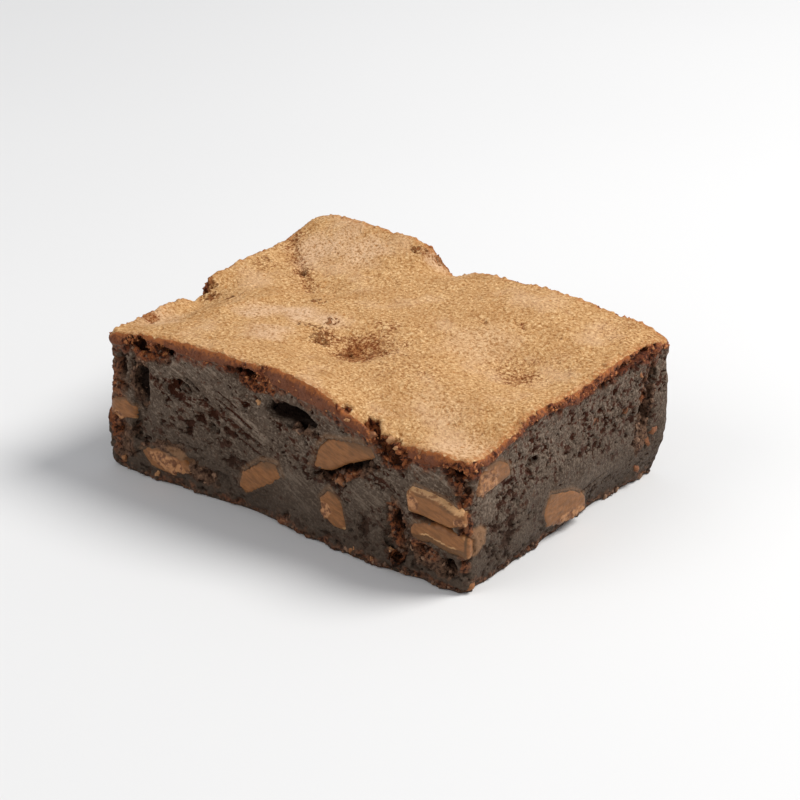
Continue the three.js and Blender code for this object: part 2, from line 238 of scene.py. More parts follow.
# Pale ones, partly the crust's own paler tone and partly painted highlight where the crust faces the
# light
PALE_PATCHES = [
    ((-31, 19.3), 6, 0.9),
    ((-29, 25), 5, 0.7),
    ((-22.8, 22.6), 6, 0.8),
    ((-15.6, -4.8), 4, 1.0),  # in front of the ridge, painted highlight where the crust faces up
    ((-22, -8.4), 4.6, 0.9),
    ((-14.4, -14.6), 5, 0.8),
    ((-10.2, -3.6), 3, 0.9),
    ((25.3, -18), 6, 0.3),
    # painted highlight along the front right rim
    ((36, -26), 6, 0.7),
    ((16, 6), 8, 0.4),
    ((-36, -20), 6, 0.6),
    ((-10.6, 28.4), 3, 1.0),
]
# Those where the crust is cracked and flaked
BROKEN_CRUST = [
    ((-11.1, -7.6), 2.6, 0.8),
    ((-17, 1.6), 1.8, 0.7),
    ((-9.6, -3.4), 2.2, 0.7),
    ((-6.6, -9.8), 3, 1.0),
    ((-0.6, -9.6), 2.4, 0.9),
    ((3.4, -7), 2, 0.6),
    ((-28.6, 11.4), 1.4, 1.0),
    ((28.6, 1), 1.8, 0.4),
    ((-14, 27.4), 2, 0.8),
    ((-10.4, 29.4), 2.2, 0.7),
    ((-31, -5.6), 2, 0.7),
    ((-37, 10), 1.6, 0.6),
    ((-38, -4), 2.4, 0.8),
    ((24.4, -28.4), 1.6, 0.6),
    ((12.6, 12), 1.2, 0.7),
    ((27.4, 15), 1, 0.7),
]
# Where the rim swells, in millimetres: its place, the reach along and across it, and the height
SWELLS = [((4, -29), (13, 8), 1.3)]
# Bites out of the rim, in millimetres: the place, the reach and the depth
BITES = [
    ((14.6, -28.6), 0.9, 1.2),
    ((19.8, -28.6), 1.5, 1.5),
    ((22.6, -29.4), 1.4, 1.4),
    ((25.4, -29), 0.9, 1.2),
    ((-39.8, -3.6), 1.1, 1),
]
# Lines across the crust: their points, width, depth (less than nothing for a ridge) and tint
CREASES = [
    (((-40, 21), (-35, 16.2), (-29, 11.4), (-23.5, 7)), 0.9, 0.4, 0.5),
    (((-30.6, 13.2), (-28.8, 11.4), (-27.4, 10.4)), 0.25, 0.3, 0.5),
    (((-31, -15), (-28.3, -12.6), (-26.4, -6.9), (-22.5, -0.1), (-18.6, 4.8)), 1.2, -0.5, 0),
    (((12, 13), (13.4, 11.6)), 0.2, 0.25, 0.7),
    (((18.6, 15), (20.2, 13.8)), 0.2, 0.25, 0.7),
]
# Marks of the knife on the crumb, as places on the cut sides
SLASHES = [
    ("front", (-9.6, 18.4), (6, 0.26), -23),
    ("front", (-8, 15.9), (5, 0.24), -21),
    ("front", (-6.4, 13.4), (4.4, 0.22), -19),
    ("front", (-11.6, 20.7), (4, 0.2), -24),
    ("front", (22, 15.6), (3.4, 0.2), -20),
    ("right", (6, 6.2), (6, 0.2), 8),
    ("back", (-20, 14), (5, 0.24), -16),
    ("left", (-4, 12), (5, 0.24), 14),
]
# What is painted on the cake for its material
PAINTS = ("band", "pit", "brown", "hollow", "pale", "smear", "rim", "flock", "rusty")

# Pieces of chocolate that stand out of the cut, in millimetres
PROUD = {"chocolate_front_6": 0.9, "chocolate_corner": 0.45}
# Facets along an edge of a piece: 1 for the upper edge or -1 for the lower, the width and the depth
FACETS = {"chocolate_front_6": (1, 1.3, 0.8), "chocolate_corner": (-1, 2.1, 0.7)}
# Where the chocolate is broken and rough, as places on the cut sides
BROKEN_CHOCOLATE = [
    ("front", (-26, 4.4), (5, 1.8), -8),
    ("front", (10, 6.6), (1.6, 2), 0),
    ("front", (-38.4, 10.6), (2, 1), 0),
    ("front", (29.6, 14.6), (1.4, 1.6), 0),
    ("front", (39, 13.4), (1, 1.2), 0),
    ("right", (-23.6, 19), (3, 2.8), 20),
    ("right", (1, 3), (6, 1.1), 0),
]


# Small tools of the workbench


def pick(*pieces):
    """Selects just these pieces, the first of them active."""
    bpy.ops.object.select_all(action="DESELECT")
    for piece in pieces:
        piece.select_set(True)
    bpy.context.view_layer.objects.active = pieces[0]


def modify(piece, kind, **settings):
    """Adds one modifier to the piece, sets it and applies it."""
    pick(piece)
    bpy.ops.object.modifier_add(type=kind)
    modifier = piece.modifiers[-1]
    for name, value in settings.items():
        setattr(modifier, name, value)
    bpy.ops.object.modifier_apply(modifier=modifier.name)


def copy_node(node, name):
    """A loose copy of a CAD node with its doubled vertices merged, free to be shaped."""
    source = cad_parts[node]
    mesh = source.data.copy()
    mesh.name = name
    piece = bpy.data.objects.new(name, mesh)
    bpy.context.scene.collection.objects.link(piece)
    piece.data.materials.clear()
    pick(piece)
    bpy.ops.object.mode_set(mode="EDIT")
    bpy.ops.mesh.select_all(action="SELECT")
    bpy.ops.mesh.remove_doubles(threshold=0.001 * MM)
    bpy.ops.mesh.customdata_custom_splitnormals_clear()
    bpy.ops.object.mode_set(mode="OBJECT")
    return piece


def points_of(piece):
    """The piece's vertices in millimetres, one row each."""
    flat = np.empty(len(piece.data.vertices) * 3, np.float32)
    piece.data.vertices.foreach_get("co", flat)
    return flat.reshape(-1, 3).astype(float) / MM


def normals_of(piece):
    flat = np.empty(len(piece.data.vertices) * 3, np.float32)
    piece.data.vertex_normals.foreach_get("vector", flat)
    return flat.reshape(-1, 3).astype(float)


def set_points(piece, points):
    piece.data.vertices.foreach_set("co", (points * MM).astype(np.float32).ravel())
    piece.data.update()


def smoothstep(value, low, high):
    share = np.clip((value - low) / (high - low), 0, 1)
    return share * share * (3 - 2 * share)


def paint(piece, name, values):
    """Keeps one number for each vertex as an attribute, for the material to read."""
    attribute = piece.data.attributes.get(name) or piece.data.attributes.new(name, "FLOAT", "POINT")
    attribute.data.foreach_set("value", np.asarray(values, np.float32))


def painted(piece, name):
    values = np.empty(len(piece.data.vertices), np.float32)
    piece.data.attributes[name].data.foreach_get("value", values)
    return values.astype(float)


def turning(angles):
    """The matrix that turns by so many degrees about x, y and z."""
    return np.array(Euler([math.radians(angle) for angle in angles]).to_matrix())


def chances(cells, seed):
    """A fixed number from 0 to 1 for each cell of a lattice, the same in each run."""
    x, y, z = (cells & 0xFFFFFFFF).astype(np.uint32).T
    mixed = x * np.uint32(374761393) + y * np.uint32(668265263) + z * np.uint32(2246822519)
    mixed = mixed + np.uint32(seed * 40503 + 97)
    mixed = (mixed ^ (mixed >> np.uint32(13))) * np.uint32(1274126177)
    mixed = (mixed ^ (mixed >> np.uint32(15))) * np.uint32(2654435761)
    return ((mixed >> np.uint32(12)) & np.uint32(0xFFFF)) / 65535


def clouds(points, size, octaves=2, seed=0):
    """Soft noise from 0 to 1. Its largest features are of that size in millimetres."""
    total = np.zeros(len(points))
    for octave in range(octaves):
        place = points * (2**octave / size) + 31.7 * (octave + 1)
        cells = np.floor(place).astype(np.int64)
        share = place - cells
        share = share * share * (3 - 2 * share)
        for corner in itertools.product((0, 1), repeat=3):
            weight = np.prod(np.where(corner, share, 1 - share), axis=1)
            total += weight * chances(cells + corner, 16 * seed + octave) / 2**octave
    return total / (2 - 0.5 ** (octaves - 1))


def spots(values, share, softness=0.3):
    """Turns noise into separate spots that cover about that share of the surface."""
    edge = np.quantile(values, 1 - share)
    return smoothstep(values, edge, edge + softness * values.std())


# The cake


def crust_map(points, normals):
    """The level of the crust over the cake, as a function of x and y in millimetres."""
    cell = 1.0  # mm
    margin = 3  # cells round the cake
    worn = 1  # mm, the rim is too worn to tell the level there
    columns = int(2 * HALF_LENGTH / cell) + 2 * margin
    rows = int(2 * HALF_WIDTH / cell) + 2 * margin
    levels = np.full((columns, rows), -1.0)
    chosen = points[(normals[:, 2] > 0.5) & (points[:, 2] > LOWEST_CRUST)]
    i = np.clip(((chosen[:, 0] + HALF_LENGTH) / cell + margin).astype(int), 0, columns - 1)
    j = np.clip(((chosen[:, 1] + HALF_WIDTH) / cell + margin).astype(int), 0, rows - 1)
    np.maximum.at(levels, (i, j), chosen[:, 2])
    empty_cells_across = 8
    for _ in range(empty_cells_across):
        empty = levels < 0
        spread = np.pad(levels, 1, constant_values=-1)
        sides = [spread[:-2, 1:-1], spread[2:, 1:-1], spread[1:-1, :-2], spread[1:-1, 2:]]
        levels[empty] = np.max(sides, axis=0)[empty]

    def level_at(x, y):
        middle = margin - 0.5
        u = np.clip(x, -HALF_LENGTH + worn, HALF_LENGTH - worn) / cell + HALF_LENGTH / cell + middle
        v = np.clip(y, -HALF_WIDTH + worn, HALF_WIDTH - worn) / cell + HALF_WIDTH / cell + middle
        u0, v0 = np.floor(u).astype(int), np.floor(v).astype(int)
        a, b = u - u0, v - v0
        near = levels[u0, v0] * (1 - b) + levels[u0, v0 + 1] * b
        far = levels[u0 + 1, v0] * (1 - b) + levels[u0 + 1, v0 + 1] * b
        return near * (1 - a) + far * a

    return level_at


def side_frame(side):
    """The middle of a cut side at the floor, the way along it and the way out of it."""
    out = np.array([*CUT_SIDES[side], 0.0])
    along = np.array([-out[1], out[0], 0.0])
    wall = abs(out[0]) * HALF_LENGTH + abs(out[1]) * HALF_WIDTH
    return out * wall, along, out


def depths(points):
    """How far each point lies inside each of the cut sides, one row for each side."""
    return [(side_frame(side)[0] - points) @ side_frame(side)[2] for side in CUT_SIDES]


def sides_of(node):
    """The cut sides in which a piece of chocolate shows."""
    return ("front", "right") if node == "chocolate_corner" else (node.split("_")[1],)


def in_places(points, places, wobble=0.0):
    """How much each point lies in one of those places on the cut sides, with an uneven edge."""
    least_depth = 3  # mm
    inside = np.zeros(len(points))
    for side, (across, up), (wide, high), turn in places:
        middle, along, out = side_frame(side)
        local = points - middle
        a, b, c = local @ along - across, local[:, 2] - up, local @ out
        slope = math.radians(turn)
        a, b = a * math.cos(slope) + b * math.sin(slope), b * math.cos(slope) - a * math.sin(slope)
        reach = np.sqrt((a / wide) ** 2 + (b / high) ** 2 + (c / max(wide, least_depth)) ** 2) + wobble
        inside = np.maximum(inside, 1 - smoothstep(reach, 0.7, 1.15))
    return inside


def in_patches(points, patches, wobble=0.0):
    """How much each point lies in one of those round patches of the crust."""
    inside = np.zeros(len(points))
    for (x, y), reach, strength in patches:
        away = np.hypot(points[:, 0] - x, points[:, 1] - y) / reach + wobble
        inside = np.maximum(inside, strength * (1 - smoothstep(away, 0.35, 1.2)))
    return inside


def along_line(points, line, wobble=0.0):
    """The distance of each point from a line drawn on the crust, seen from above."""
    nearest = np.full(len(points), 1e9)
    for start, end in zip(line, line[1:]):
        start, step = np.array(start), np.subtract(end, start)
        share = np.clip((points[:, :2] - start) @ step / (step @ step), 0, 1)
        away = points[:, :2] - start - np.outer(share, step)
        nearest = np.minimum(nearest, np.hypot(*away.T))
    return nearest + wobble


def fill_pocket(node):
    """A plug for the pocket of one piece of chocolate, a little larger than it and sunk a little."""
    plug = copy_node(node, "plug")
    points = points_of(plug)
    low, high = points.min(0), points.max(0)
    grown = 0.9  # mm, so that it closes the gap round the piece
    sunk = 0.15
    points = (low + high) / 2 + (points - (low + high) / 2) * (1 + grown / (high - low))
    for side in sides_of(node):
        middle, _, out = side_frame(side)
        points -= out * ((points @ out).max() - middle @ out + sunk)
    set_points(plug, points)
    return plug


def near_chocolate(points, chosen):
    """How close each chosen point lies to a piece of chocolate: 1 on it, 0 at the end of the smear.
    The second number says how much the point lies above the piece, where the knife smeared it, and
    the third whether the piece covers it."""
    level, rise = 0.3, 0.4  # how much counts as above beside the piece, and the rise that adds 1
    closeness, above, covered = np.zeros((3, len(points)))
    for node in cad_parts:
        if node == "brownie":
            continue
        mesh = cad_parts[node].data
        corners = np.array([vertex.co for vertex in mesh.vertices]) / MM
        tree = BVHTree.FromPolygons(corners.tolist(), [tuple(face.vertices) for face in mesh.polygons])
        low, high = corners.min(0) - SMEAR_REACH, corners.max(0) + SMEAR_REACH
        inward = Vector(np.sum([side_frame(side)[2] for side in sides_of(node)], axis=0))
        boxed = np.nonzero(chosen & (points > low).all(1) & (points < high).all(1))[0]
        for index in boxed:
            spot = Vector(points[index])
            place, normal, _, away = tree.find_nearest(spot)
            inside = (spot - place).dot(normal) < 0
            close = 1 if inside else 1 - away / SMEAR_REACH
            if close > closeness[index]:
                closeness[index] = close
                above[index] = min(max((spot.z - place.z) / rise + level, 0), 1)
            behind = spot - inward
            place, normal, _, away = tree.find_nearest(behind)
            if (behind - place).dot(normal) < 0 and away > UNCOVERED_RIM:
                covered[index] = 1
    return closeness, above, covered


def carve_sides(points, below, side):
    """How far the cut sides are pushed out, in millimetres, and what is painted on them."""
    p, below = points[side], below[side]
    on_right = np.argmin(depths(p), axis=0) == list(CUT_SIDES).index("right")
    pit_depth = np.where(on_right, 0.5, 0.85)
    pore_depth, hole_depth, crevice_depth, slash_depth = 0.35, 0.4, 1.8, 0.4
    behind_chocolate = 0.75
    wobble = 0.9 * (clouds(p, 2.2, 3, seed=1) - 0.5)

    closeness, above, covered = (values[side] for values in near_chocolate(points, side))
    crumbled = in_places(p, CRUMBLED, wobble)
    smooth = in_places(p, SMOOTH, wobble)
    pitted = in_places(p, PITTED, wobble)
    crevice = in_places(p, CREVICES, 1.5 * (clouds(p, 1.2, 2, seed=13) - 0.5))
    smeared = in_places(p, SMEARED, wobble)
    quiet = 1 - 0.85 * np.maximum(smooth, smoothstep(closeness, 0.1, 0.6))

    # The band of the crust, with torn stretches and slots under it
    unevenness = clouds(p * (1, 1, 0.3), 5, 2, seed=2) - 0.5
    thick = np.where(on_right, RIGHT_BAND, BAND) + 2.2 * unevenness
    thick += THICKER * in_places(p, THICK_BAND, wobble)
    band = 1 - smoothstep(below, thick - 0.3, thick + 0.35)
    tearing = clouds(p * (1, 1, 0.5), 3.4, 3, seed=3)
    torn = np.where(on_right, spots(tearing, 0.55), spots(tearing, 0.16))
    torn = np.maximum(torn * (1 - smooth), crumbled)
    slot = np.exp(-(((below - thick - 0.3) / 0.45) ** 2)) * torn
    ragged = clouds(p, 1.1, 3, seed=4) - 0.52
    push = 0.25 * band + (0.35 + 1.3 * torn) * band * ragged - 0.45 * slot

    # The crumb: soft lumps, torn pits in flocks, a few holes, and small pores
    crumb = (1 - band) * quiet
    push += 0.5 * (clouds(p, 3.3, 2, seed=5) - 0.5)
    push += crumb * 0.3 * (clouds(p, 0.8, 2, seed=6) - 0.5)
    flock = smoothstep(clouds(p, 7, 2, seed=7), 0.35, 0.65)
    leaning = p @ turning((0, 16, 0)) * (0.55, 1, 1.1)
    warped = leaning + 0.8 * (clouds(p, 1.1, 2, seed=12) - 0.5)[:, None]
    torn_pits = clouds(warped, 1.1, 3, seed=8) + 0.1 * flock + 0.09 * pitted - 0.4 * smooth
    pit = spots(torn_pits, 0.065, 0.2) * (1 - band)
    holes = clouds(warped, 2, 3, seed=15) - 0.4 * (1 - pitted)
    holes = spots(holes, 0.022, 0.15) * (1 - band) * ~on_right
    pit = np.maximum(pit, holes)
    push -= quiet * hole_depth * holes
    fine_pits = clouds(warped, 0.6, 2, seed=9) + 0.1 * flock + 0.1 * pitted - 0.3 * smooth
    pores = spots(fine_pits, 0.12) * (1 - band)
    push -= quiet * (pit_depth * pit + pore_depth * pores)

    # Torn places, where the knife pulled the cake to knobbly crumbs with gaps between them
    knobs = clouds(p, 1.5, 3, seed=10) - 0.5
    gaps = smoothstep(-knobs, 0.06, 0.2)
    free = 1 - 0.8 * smoothstep(closeness, 0.3, 0.8)
    push += crumbled * free * (2.6 * knobs - 0.2 - 1.1 * gaps)
    push -= crevice_depth * crevice
    slash = in_places(p, SLASHES, 0.5 * wobble)
    push -= slash_depth * slash

    # The foot is ragged, where crumbs hang on
    foot = 1 - smoothstep(p[:, 2] + 2.8 * (clouds(p, 2.5, 2, seed=11) - 0.5), 0.6, 2.8)
    push += foot * (1.3 * ragged + 1.6 * (clouds(p, 3, 2, seed=14) - 0.5))

    # Painted shade: the deep pits, the crevices and the slots under the band are marked to be darkened,
    # as the shade that falls in them
    hollow = smoothstep(-push, 1.3, 2.8) + 0.7 * crevice + 0.3 * slot
    push = np.where(covered > 0, np.minimum(push, 0) - behind_chocolate, push)
    stale = np.where(on_right, 0.35, 0.7) * (1 - smoothstep(below - thick, 0.2, 3.2)) * (1 - band)
    brown = np.clip(np.maximum.reduce([crumbled, stale, 0.7 * foot, 0.7 * band * torn]), 0, 1)
    smear = 0.7 * smoothstep(closeness, 0.25, 0.95) * above * (1 - crumbled) * (1 - crevice)
    paints = {
        "band": band,
        "pit": np.clip(pit + 0.5 * pores + 0.7 * slash, 0, 1),
        "brown": brown,
        "hollow": np.clip(hollow, 0, 1),
        "pale": smooth,
        "smear": np.maximum(smear, smeared),
        "flock": np.clip(0.7 * flock + 0.6 * pitted + 0.4 * on_right - smooth, 0, 1),
        "rusty": np.maximum(in_places(p, RUSTY, wobble), 0.6 * foot),
    }
    return push, paints


def bake_top(points, edge):
    """How far the baked skin is pushed up, in millimetres, and what is painted on it."""
    wobble = 1.3 * (clouds(points, 3, 3, seed=21) - 0.5)
    stain = in_patches(points, STAINS, wobble)
    pale = in_patches(points, PALE_PATCHES, 0.7 * wobble)
    broken = in_patches(points, BROKEN_CRUST, wobble)
    flaked = spots(clouds(points, 1.1, 3, seed=22) + 0.02 * broken, 0.2) * broken
    rim = 1 - smoothstep(edge + 0.9 * (clouds(points, 1.6, 2, seed=23) - 0.5), 0.3, 1.3)
    pins = spots(clouds(points, 0.8, 2, seed=24) + 0.15 * stain, 0.007)
    ragged = clouds(points, 1.2, 3, seed=29)
    bites = np.zeros(len(points))
    for (x, y), reach, depth in BITES:
        away = np.hypot(points[:, 0] - x, points[:, 1] - y) / reach + 1.6 * (ragged - 0.5)
        bites = np.maximum(bites, depth * (1 - smoothstep(away, 0.8, 1.05)))

    flake_depth, pin_depth = 0.45, 0.3
    push = 0.3 * (clouds(points, 4.5, 2, seed=25) - 0.5)
    push += (0.36 + 0.3 * stain) * (clouds(points, 0.7, 2, seed=26) - 0.5)
    push += 1.2 * rim * (clouds(points, 1, 2, seed=27) - 0.5)
    bite_share = 1.6 - 1.2 * clouds(points, 0.9, 2, seed=30)
    push -= flake_depth * flaked + pin_depth * pins + bites * bite_share
    brown = np.maximum.reduce([stain, 0.7 * flaked, smoothstep(bites, 0, 0.8)])
    for line, width, depth, tint in CREASES:
        away = along_line(points, line, 0.5 * wobble)
        push -= depth * np.exp(-((away / width) ** 2))
        brown = np.maximum(brown, tint * np.exp(-((away / (2.2 * width)) ** 2)))
    cores = spots(clouds(points, 0.9, 2, seed=28), 0.4)
    paints = {
        "brown": np.clip(brown, 0, 1),
        "pale": np.clip(pale, 0, 1),
        "pit": np.clip(0.6 * pins + 0.5 * flaked * cores, 0, 1),
        "rim": rim,
        "hollow": smoothstep(bites, 0.3, 1),
        "flock": broken,
        "rusty": smoothstep(bites, 0, 0.5),
    }
    return push, paints


def build_cake(settings):
    cake = copy_node("brownie", "cake")
    plugs = [fill_pocket(node) for node in sorted(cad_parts) if node != "brownie"]
    pick(cake, *plugs)
    bpy.ops.object.join()
    modify(cake, "REMESH", mode="VOXEL", voxel_size=settings.grain, adaptivity=0, use_smooth_shade=True)
    modify(cake, "SMOOTH", factor=0.5, iterations=6)

    points, normals = points_of(cake), normals_of(cake)
    level_at = crust_map(points, normals)
    below = level_at(points[:, 0], points[:, 1]) - points[:, 2]
    ragged_edge = 0.5 * (clouds(points, 1.2, 2, seed=31) - 0.5)
    top = smoothstep(normals[:, 2] + ragged_edge, 0.35, 0.7) * (1 - smoothstep(below, 0.8, 1.6))
    under = smoothstep(-normals[:, 2], 0.5, 0.9) * (1 - smoothstep(points[:, 2], 0.1, 0.5))
    wall = np.min(depths(points), axis=0)

    # Sides and crust, blended over the rim
    push = np.zeros(len(points))
    paints = {name: np.zeros(len(points)) for name in PAINTS}
    side = (top < 1) & (under < 1)
    crust = top > 0
    side_share, crust_share = (1 - top - under)[side], top[crust]
    side_push, side_paints = carve_sides(points, below, side)
    top_push, top_paints = bake_top(points[crust], wall[crust])
    push[side] += side_push * np.clip(side_share, 0, 1)
    push[crust] += top_push * crust_share
    for name, values in side_paints.items():
        paints[name][side] += values * np.clip(side_share, 0, 1)
    for name, values in top_paints.items():
        paints[name][crust] += values * crust_share
    # Painted shade: the cut sides are darkened where they lie deep behind the cut, in holes and notches
    inside = smoothstep(wall, 0.9, 2.6) * (1 - top) * smoothstep(points[:, 2], 2, 5)
    paints["hollow"] = np.maximum(paints["hollow"], inside)
    paints["top"] = top
    paints["below"] = np.clip(below, -1, 12)

    # Roofs of the holes stay under the crust, and nothing goes below the floor
    thinnest_roof = 0.9
    ceiling = np.maximum(points[:, 2] + below - thinnest_roof, points[:, 2])
    points += normals * push[:, None]
    points[:, 2] = np.where(normals[:, 2] < -0.2, np.minimum(points[:, 2], ceiling), points[:, 2])
    still, fully_raised = 14, 24  # mm above the floor
    for (x, y), (wide, deep), rise in SWELLS:
        along = 1 - smoothstep(abs(points[:, 0] - x), 0.2 * wide, wide)
        inward = 1 - smoothstep(points[:, 1] - y, 0, deep)
        points[:, 2] += rise * (along * inward) * smoothstep(points[:, 2], still, fully_raised)
    points[:, 2] = np.maximum(points[:, 2], 0)
    set_points(cake, points)
    for name, values in paints.items():
        paint(cake, name, values)

    count = sum(len(face.vertices) - 2 for face in cake.data.polygons)
    if count > settings.triangles:
        modify(cake, "DECIMATE", decimate_type="COLLAPSE", ratio=settings.triangles / count)
    cake.data.materials.append(cake_material(settings))
    return cake


# Materials


class Nodes:
    """A short way to write down a node tree."""

    def __init__(self, name):
        self.material = bpy.data.materials.new(name)
        self.material.use_nodes = True
        self.tree = self.material.node_tree
        self.shader = self.tree.nodes["Principled BSDF"]
        where = self.tree.nodes.new("ShaderNodeTexCoord")
        scale = self.tree.nodes.new("ShaderNodeMapping")
        scale.inputs["Scale"].default_value = (1 / MM, 1 / MM, 1 / MM)
        self.link(where.outputs["Object"], scale.inputs["Vector"])
        self.place = scale.outputs["Vector"]  # in millimetres

    def link(self, source, socket):
        if isinstance(source, (int, float, tuple)):
            socket.default_value = source
        else:
            self.tree.links.new(source, socket)

    def noise(self, size, detail=2.0, roughness=0.5, stretch=(1, 1, 1), turn=(0, 0, 0)):
        """Soft noise with features of that size in millimetres."""
        mapping = self.tree.nodes.new("ShaderNodeMapping")
        mapping.vector_type = "TEXTURE"
        mapping.inputs["Scale"].default_value = tuple(1 / share for share in stretch)
        mapping.inputs["Rotation"].default_value = turn
        self.link(self.place, mapping.inputs["Vector"])
        node = self.tree.nodes.new("ShaderNodeTexNoise")
        node.inputs["Scale"].default_value = 1 / size
        node.inputs["Detail"].default_value = detail
        node.inputs["Roughness"].default_value = roughness
        self.link(mapping.outputs["Vector"], node.inputs["Vector"])
        return node.outputs["Fac"]

    def range(self, value, low, high, to_low=0.0, to_high=1.0):
        node = self.tree.nodes.new("ShaderNodeMapRange")
        node.interpolation_type = "SMOOTHSTEP"
        self.link(value, node.inputs["Value"])
        ends = {"From Min": low, "From Max": high, "To Min": to_low, "To Max": to_high}
        for name, number in ends.items():
            node.inputs[name].default_value = number
        return node.outputs["Result"]

    def math(self, kind, a, b):
        node = self.tree.nodes.new("ShaderNodeMath")
        node.operation = kind
        self.link(a, node.inputs[0])
        self.link(b, node.inputs[1])
        return node.outputs[0]

    def mix(self, share, a, b):
        node = self.tree.nodes.new("ShaderNodeMix")
        node.data_type = "RGBA"
        self.link(share, node.inputs["Factor"])
        for source, socket in ((a, node.inputs[6]), (b, node.inputs[7])):
            self.link(tuple(source) if not hasattr(source, "is_linked") else source, socket)
        return node.outputs[2]

    def lay(self, under, over, value, low, high, most=1.0):
        """Lays the second colour over the first, as the value goes from low to high."""
        return self.mix(self.range(value, low, high, 0, most), under, over)

    def attribute(self, name):
        node = self.tree.nodes.new("ShaderNodeAttribute")
        node.attribute_name = name
        return node.outputs["Fac"]

    def height(self):
        node = self.tree.nodes.new("ShaderNodeSeparateXYZ")
        self.link(self.place, node.inputs[0])
        return node.outputs["Z"]

    def bump(self, height, depth, strength=1.0):
        node = self.tree.nodes.new("ShaderNodeBump")
        node.inputs["Distance"].default_value = depth * MM
        node.inputs["Strength"].default_value = strength
        self.link(height, node.inputs["Height"])
        self.link(node.outputs["Normal"], self.shader.inputs["Normal"])

    def finish(self, colour, roughness, gloss=0.5):
        """The material, with its colour, roughness and specular level set."""
        self.link(colour, self.shader.inputs["Base Color"])
        self.link(roughness, self.shader.inputs["Roughness"])
        self.shader.inputs["Specular IOR Level"].default_value = gloss
        return self.material


